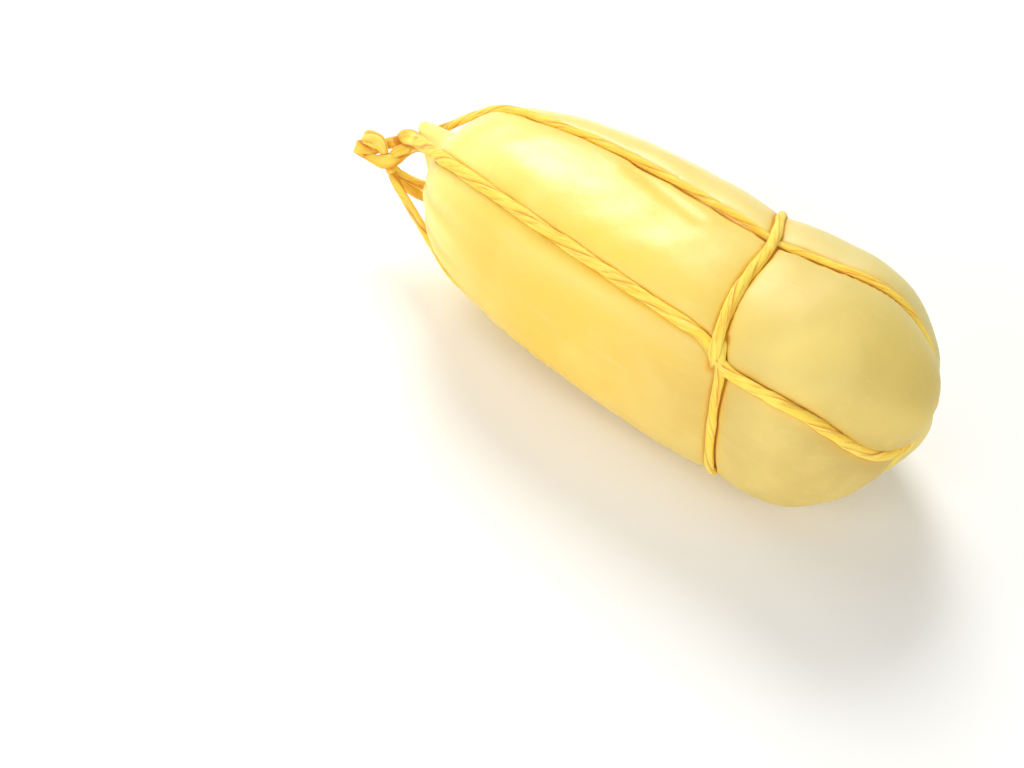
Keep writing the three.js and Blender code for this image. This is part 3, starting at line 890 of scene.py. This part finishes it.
def shade_under_others(points, number, routes):
    """Painted shade on one ribbon of the knot: how close its points are to another that lies over that face
    of it.
    """
    base = np.stack((knot_across, knot_up, knot_out), axis=1)
    places = points @ base
    own = lengths_along(routes[number]["at"])
    from_start = np.append(np.repeat(own, STRING_SIDES), (own[0], own[-1]))
    middles = (routes[number]["at"] @ base)[:, 2]
    middles = np.append(np.repeat(middles, STRING_SIDES), (middles[0], middles[-1]))
    face = np.where(places[:, 2] < middles, -1, 1)
    under = np.zeros(len(points))
    for other, route in enumerate(routes):
        along = lengths_along(route["at"])
        for station, wide, length in zip(route["at"] @ base, route["wide"], along):
            gap = (station[2] - places[:, 2]) * face
            apart = other != number or np.abs(from_start - length) > OVER_APART
            away = np.hypot(places[:, 0] - station[0], places[:, 1] - station[1]) - wide
            close = (1 - ease(away, 0, SHADE_UNDER_REACH)) * (1 - ease(gap, GAP_TOUCHES, GAP_CLEAR))
            under = np.maximum(under, np.where((gap > OVER_HEIGHT) & apart, close, 0))
    return under


def make_string(name, node, routes, seed, pitch, material):
    """A piece of string made of one or more rolled runs."""
    points, faces, values = [], [], []
    first = 0
    for number, route in enumerate(routes):
        run_points, run_faces, run_values = string_mesh(route, seed + number, pitch)
        alone = len(routes) == 1
        # Painted shade where another ribbon lies over this one.
        run_values["under"] = np.zeros(len(run_points)) if alone else shade_under_others(run_points, number, routes)
        faces.extend([index + first for index in face] for face in run_faces)
        points.append(run_points)
        values.append(run_values)
        first = first + len(run_points)
    values = {key: np.concatenate([run[key] for run in values]) for key in values[0]}
    add_piece(name, node, np.vstack(points), faces, material, values)


# Materials


class Value:
    """A shader socket that can stand in sums."""

    def __init__(self, finish, socket):
        self.finish = finish
        self.socket = socket

    def maths(self, operation, first, second):
        return self.finish.node("ShaderNodeMath", {"operation": operation}, {0: first, 1: second})

    def __add__(self, other):
        return self.maths("ADD", self, other)

    def __radd__(self, other):
        return self.maths("ADD", other, self)

    def __sub__(self, other):
        return self.maths("SUBTRACT", self, other)

    def __rsub__(self, other):
        return self.maths("SUBTRACT", other, self)

    def __mul__(self, other):
        return self.maths("MULTIPLY", self, other)

    def __rmul__(self, other):
        return self.maths("MULTIPLY", other, self)


class Finish:
    """The nodes of one material."""

    def __init__(self, name):
        self.material = bpy.data.materials.new(name)
        self.material.use_nodes = True
        self.tree = self.material.node_tree
        self.tree.nodes.clear()

    def node(self, kind, settings=None, sockets=None, output=0):
        """Adds a node: its settings first, then the values or links of its sockets."""
        made = self.tree.nodes.new(kind)
        for key, setting in (settings or {}).items():
            setattr(made, key, setting)
        for key, value in (sockets or {}).items():
            if isinstance(value, Value):
                self.tree.links.new(value.socket, made.inputs[key])
            else:
                made.inputs[key].default_value = value
        return Value(self, made.outputs[output]) if made.outputs else made

    def carried(self, name, output="Fac"):
        """A value or a place that the mesh carries at its points."""
        return self.node("ShaderNodeAttribute", {"attribute_name": name}, None, output)

    def mix(self, share, first, second):
        """One colour laid over another."""
        return self.node("ShaderNodeMix", {"data_type": "RGBA"}, {0: share, 6: first, 7: second}, 2)

    def over(self, colour, value, shows, share, layer):
        """A colour with a layer of another over it, which shows as a value rises."""
        return self.mix(self.step(value, *shows) * share, colour, layer)

    def step(self, value, low, high):
        """A smooth rise from 0 at low to 1 at high."""
        sockets = {"Value": value, "From Min": low, "From Max": high}
        return self.node("ShaderNodeMapRange", {"interpolation_type": "SMOOTHSTEP"}, sockets)

    def noise(self, place, scale, detail, roughness=0.5):
        """A cloudy value around a half."""
        sockets = {"Vector": place, "Scale": scale, "Detail": detail, "Roughness": roughness}
        return self.node("ShaderNodeTexNoise", None, sockets, "Fac")

    def stretched(self, place, scale):
        """A place with each of its directions scaled."""
        return self.node("ShaderNodeVectorMath", {"operation": "MULTIPLY"}, {0: place, 1: scale})

    def bump(self, height, strength, distance, under=None):
        """Fine relief, over another where one is given."""
        sockets = {"Height": height, "Strength": strength, "Distance": distance}
        if under is not None:
            sockets["Normal"] = under
        return self.node("ShaderNodeBump", None, sockets)

    def surface(self, sockets):
        """The finished material."""
        shader = self.node("ShaderNodeBsdfPrincipled", None, sockets)
        self.node("ShaderNodeOutputMaterial", None, {"Surface": shader})
        return self.material


def shade(red, green, blue):
    """A colour picked on screen, 0 to 255, as the shader takes it."""
    def linear(part):
        part = part / 255
        return part / 12.92 if part <= 0.04045 else ((part + 0.055) / 1.055) ** 2.4
    return (linear(red), linear(green), linear(blue), 1.0)


# The skin: its colours before and past the belt, the darker one past it partly the skin's own tone and partly
# painted shade, the painted light and shade laid over them, and how much of some of them there is.
SKIN = shade(252, 220, 98), shade(225, 200, 109)
# A painted pale reflection on the rear, before and past the belt.
REAR_PAINTED_REFLECTION = shade(243, 227, 152), shade(228, 217, 150)
REAR_REFLECTION_SHARE = 0.75
# Painted warm shade on the lower side, before and past the belt.
LOWER_PAINTED_SHADE = shade(248, 202, 72), shade(206, 178, 96)
LOWER_SHADE_SHARE = 0.8
# The paler neck, with a painted highlight on its pleat ridges.
PALE_NECK_SKIN = shade(255, 243, 142)
# Painted amber shade beside the strings.
AMBER_SHADE_BESIDE = shade(252, 190, 44)
SHADE_BESIDE_SHARE = 0.5
PAST_BELT = (0.4, 0.8)
PAST_BELT_UNEVEN = 0.2

# Noises as scale, detail and roughness. Layers as the values between which one shows, its share and colour.
# Relief as strength and distance.
NOISE_MIDDLE = 0.5
CLOUDS = (26.0, 3.0)
PALE_CLOUDS = (0.42, 0.7), 0.4, shade(253, 230, 138)
MOTTLE = (170.0, 4.0, 0.6)
GOLD_MOTTLE = (0.5, 0.75), 0.28, shade(238, 204, 104)
MOTTLE_RELIEF = (0.12, 0.0012)
GRAIN = (1.0, 3.0)
GRAIN_STRETCH = (60.0, 420.0, 420.0)
GRAIN_RISE = 0.25
PALE_GRAIN = (0.55, 0.8), 0.1, shade(255, 242, 190)
PORES = (900.0, 3.0, 0.6)
PORE_RELIEF = (0.07, 0.0004)
SPECK_SCALE = 95.0
SPECK_PICK = (0.93, 0.95)
SPECK_EDGE = (0.03, 0.075)
SPECK_PIT = 0.7
SPECK_SHARE = 0.45
BROWN_SPECK = shade(196, 150, 66)
SKIN_ROUGHNESS = 0.35
PAST_BELT_ROUGHER = 0.2
MOTTLE_ROUGHER = 0.14
CLOUDS_ROUGHER = 0.1

# The paper, its fibres and its folds, in the same way, with painted shade in the folds and dips and where
# ribbons lie over each other, and a painted highlight on the lips.
PAPER = shade(255, 218, 78), shade(255, 229, 100)
PATCHES = (110.0, 2.0)
PATCHES_SHOW = (0.35, 0.7)
FIBRES = (5.0, 5.0, 0.65)
GOLD_FIBRES = (0.5, 0.66), 0.5, shade(248, 180, 32)
FIBRE_RELIEF = (0.35, 0.0006)
FINE_FIBRES = (2.0, 3.0, 0.6)
FINE_FIBRE_STRETCH = (2.5, 4.0, 4.0)
PALE_FIBRES = (0.55, 0.7), 0.5, shade(255, 239, 156)
FINE_FIBRE_RELIEF = (0.22, 0.0003)
# Painted orange shade in the dips, a painted highlight on the lips, painted amber shade in the folds.
ORANGE_DIP_SHADE = (0.1, 0.8), 0.68, shade(242, 162, 18)
PALE_LIP_HIGHLIGHT = (0.3, 0.95), 0.75, shade(255, 236, 142)
AMBER_FOLD_SHADE = (0.25, 0.85), 0.85, shade(220, 136, 8)
# Painted amber shade where another ribbon of the knot lies over one.
AMBER_SHADE_UNDER = shade(214, 126, 8)
SHADE_UNDER_SHARE = 0.8
PAPER_ROUGHNESS = 0.62
FIBRES_ROUGHER = 0.3

# The floor, and the distances between which it takes on a glow of its own.
FLOOR = shade(250, 250, 248), shade(253, 253, 252)
FLOOR_TONE = (6.0, 2.0)
GLOW = (0.0, 0.0, 0.0, 1.0), (1.0, 1.0, 0.99, 1.0)
GLOW_RISES = (0.5, 1.5)
GLOW_STRENGTH = 0.75


def waxy_rind():
    """Smooth butter-yellow skin, darker and duller past the belt partly as painted shade, with faint grain
    and specks;
    painted warm shade below, a painted pale reflection behind, painted amber shade beside the strings and a
    painted highlight on the neck pleats.
    """
    finish = Finish("waxy_rind")
    place = finish.node("ShaderNodeTexCoord", None, None, "Object")
    along = finish.carried("along")
    painted_shade_beside = finish.carried("painted_shade_beside")
    painted_rear_reflection = finish.carried("painted_rear_reflection")
    painted_lower_shade = finish.carried("painted_lower_shade")
    pale_neck_ridge_highlight = finish.carried("pale_neck_ridge_highlight")
    clouds = finish.noise(place, *CLOUDS)
    mottle = finish.noise(place, *MOTTLE)
    grain = finish.noise(finish.stretched(place, GRAIN_STRETCH), *GRAIN)
    past_belt = finish.step(along + (clouds - NOISE_MIDDLE) * PAST_BELT_UNEVEN, *PAST_BELT)
    # Darker and duller past the belt: partly the skin's own tone, partly painted shade on the far end.
    colour = finish.mix(past_belt, *SKIN)
    # A painted pale reflection at the rear.
    colour = finish.mix(painted_rear_reflection * REAR_REFLECTION_SHARE, colour, finish.mix(past_belt, *REAR_PAINTED_REFLECTION))
    # Painted warm shade on the lower side.
    colour = finish.mix(painted_lower_shade * LOWER_SHADE_SHARE, colour, finish.mix(past_belt, *LOWER_PAINTED_SHADE))
    # Paler at the neck, with a painted highlight on the pleat ridges.
    colour = finish.mix(pale_neck_ridge_highlight, colour, PALE_NECK_SKIN)
    colour = finish.over(colour, clouds, *PALE_CLOUDS)
    colour = finish.over(colour, mottle, *GOLD_MOTTLE)
    colour = finish.over(colour, grain, *PALE_GRAIN)
    cells = {"Vector": place, "Scale": SPECK_SCALE, "Randomness": 1.0}
    from_speck = finish.node("ShaderNodeTexVoronoi", None, cells, "Distance")
    pick = finish.node("ShaderNodeTexVoronoi", None, cells, "Color")
    pick = finish.node("ShaderNodeSeparateColor", None, {"Color": pick}, "Red")
    specks = finish.step(pick, *SPECK_PICK) * (1 - finish.step(from_speck, *SPECK_EDGE))
    colour = finish.mix(specks * SPECK_SHARE, colour, BROWN_SPECK)
    # Painted amber shade beside the strings.
    colour = finish.mix(painted_shade_beside * SHADE_BESIDE_SHARE, colour, AMBER_SHADE_BESIDE)
    roughness = SKIN_ROUGHNESS + past_belt * PAST_BELT_ROUGHER
    roughness = roughness + (mottle - NOISE_MIDDLE) * MOTTLE_ROUGHER
    roughness = roughness + (clouds - NOISE_MIDDLE) * CLOUDS_ROUGHER
    pores = finish.noise(place, *PORES)
    normal = finish.bump(mottle + GRAIN_RISE * grain, *MOTTLE_RELIEF)
    normal = finish.bump(pores - specks * SPECK_PIT, *PORE_RELIEF, normal)
    return finish.surface({
        "Base Color": colour,
        "Roughness": roughness,
        "Normal": normal,
        "IOR": 1.44,
        "Specular IOR Level": 0.75,
        "Subsurface Weight": 0.32,
        "Subsurface Radius": (1.0, 0.62, 0.2),
        "Subsurface Scale": 0.006,
    })


def rolled_paper():
    """Yellow paper rolled into string: painted highlight on the ridges, painted amber shade in the folds,
    fine fibres along it.
    """
    finish = Finish("rolled_paper")
    place = finish.node("ShaderNodeTexCoord", None, None, "Object")
    fold = finish.carried("fold")
    lip = finish.carried("lip")
    dip = finish.carried("dip")
    under = finish.carried("under")
    fibre_place = finish.carried("fibre", "Vector")
    fibres = finish.noise(fibre_place, *FIBRES)
    fine = finish.noise(finish.stretched(fibre_place, FINE_FIBRE_STRETCH), *FINE_FIBRES)
    patches = finish.noise(place, *PATCHES)
    colour = finish.mix(finish.step(patches, *PATCHES_SHOW), *PAPER)
    colour = finish.over(colour, fibres, *GOLD_FIBRES)
    # Painted orange shade in the dips and a painted highlight on the lips.
    colour = finish.over(colour, dip, *ORANGE_DIP_SHADE)
    colour = finish.over(colour, lip, *PALE_LIP_HIGHLIGHT)
    colour = finish.over(colour, fine, *PALE_FIBRES)
    # Painted amber shade in the folds.
    colour = finish.over(colour, fold, *AMBER_FOLD_SHADE)
    # Painted amber shade where another ribbon lies over this one.
    colour = finish.mix(under * SHADE_UNDER_SHARE, colour, AMBER_SHADE_UNDER)
    roughness = PAPER_ROUGHNESS + (fibres - NOISE_MIDDLE) * FIBRES_ROUGHER
    normal = finish.bump(fibres, *FIBRE_RELIEF)
    normal = finish.bump(fine, *FINE_FIBRE_RELIEF, normal)
    return finish.surface({
        "Base Color": colour,
        "Roughness": roughness,
        "Normal": normal,
        "IOR": 1.45,
        "Sheen Weight": 0.08,
        "Subsurface Weight": 0.3,
        "Subsurface Radius": (1.0, 0.9, 0.7),
        "Subsurface Scale": 0.0014,
    })


def pale_floor():
    """A white studio floor that stays bright beyond the reach of the soft lights."""
    finish = Finish("pale_floor")
    place = finish.node("ShaderNodeTexCoord", None, None, "Object")
    tone = finish.noise(place, *FLOOR_TONE)
    away = finish.node("ShaderNodeVectorMath", {"operation": "LENGTH"}, {0: place}, "Value")
    return finish.surface({
        "Base Color": finish.mix(tone, *FLOOR),
        "Roughness": 0.85,
        "Emission Color": finish.mix(finish.step(away, *GLOW_RISES), *GLOW),
        "Emission Strength": GLOW_STRENGTH,
    })


# The scene


def make_floor():
    """A square of floor under the cheese."""
    mesh = bpy.data.meshes.new("floor")
    corners = [(-1, -1), (1, -1), (1, 1), (-1, 1)]
    mesh.from_pydata([(x * FLOOR_REACH, y * FLOOR_REACH, 0) for x, y in corners], [], [(0, 1, 2, 3)])
    mesh.materials.append(pale_floor())
    floor = bpy.data.objects.new("floor", mesh)
    bpy.context.scene.collection.objects.link(floor)


def make_camera():
    """The camera, with its place given from the middle of the cheese's own axes."""
    turn = math.radians(CAMERA_TURN)
    lean = math.radians(CAMERA_LEAN)
    right = laid((math.cos(turn), math.sin(turn), 0))
    back = laid((math.sin(turn) * math.cos(lean), -math.cos(turn) * math.cos(lean), math.sin(lean)))
    up = np.cross(back, right)
    place = (back * CAMERA_AWAY - right * CAMERA_ASIDE - up * CAMERA_UP + STANDS_AT) * TO_METRES
    data = bpy.data.cameras.new("camera")
    data.lens = CAMERA_LENS
    data.sensor_width = CAMERA_SENSOR
    camera = bpy.data.objects.new("camera", data)
    matrix = np.eye(4)
    matrix[:3, :3] = np.stack((right, up, back), axis=1)
    matrix[:3, 3] = place
    camera.matrix_world = Matrix(matrix.tolist())
    bpy.context.scene.collection.objects.link(camera)
    bpy.context.scene.camera = camera


def soft_light(name, place, size, power, colour):
    """A square soft box that faces the cheese."""
    data = bpy.data.lights.new(name, "AREA")
    data.shape = "SQUARE"
    data.size = size
    data.energy = power
    data.color = colour
    light = bpy.data.objects.new(name, data)
    back = unit(np.array(place, float))
    right = unit(np.cross(LIGHT_SQUARE_TO, back))
    matrix = np.eye(4)
    matrix[:3, :3] = np.stack((right, np.cross(back, right), back), axis=1)
    matrix[:3, 3] = place
    light.matrix_world = Matrix(matrix.tolist())
    bpy.context.scene.collection.objects.link(light)


def light_the_studio():
    """A dim room and the soft boxes in it."""
    world = bpy.data.worlds.new("studio")
    world.use_nodes = True
    background = world.node_tree.nodes["Background"]
    background.inputs["Color"].default_value = (*WARM_WHITE, 1.0)
    background.inputs["Strength"].default_value = ROOM_LIGHT
    bpy.context.scene.world = world
    bpy.context.scene.view_settings.view_transform = "Standard"
    for name, settings in SOFT_BOXES.items():
        soft_light(name, *settings)


rind = waxy_rind()
paper = rolled_paper()
make_camera()
light_the_studio()
make_floor()
make_cheese(rind)
make_string("over_string", "string_over", [over_route], OVER_SEED, STRING_PITCH, paper)
make_string("across_string", "string_across", [across_route], ACROSS_SEED, STRING_PITCH, paper)
make_string("belt_string", "belt", [belt_route()], BELT_SEED, STRING_PITCH, paper)
knot_routes = [knot_route(strand) for strand in (HIDDEN_BIGHT, TOP_ARCH, RISING_END, TUCKED_TAIL)]
make_string("neck_knot", "knot", knot_routes, KNOT_SEED, KNOT_PITCH, paper)
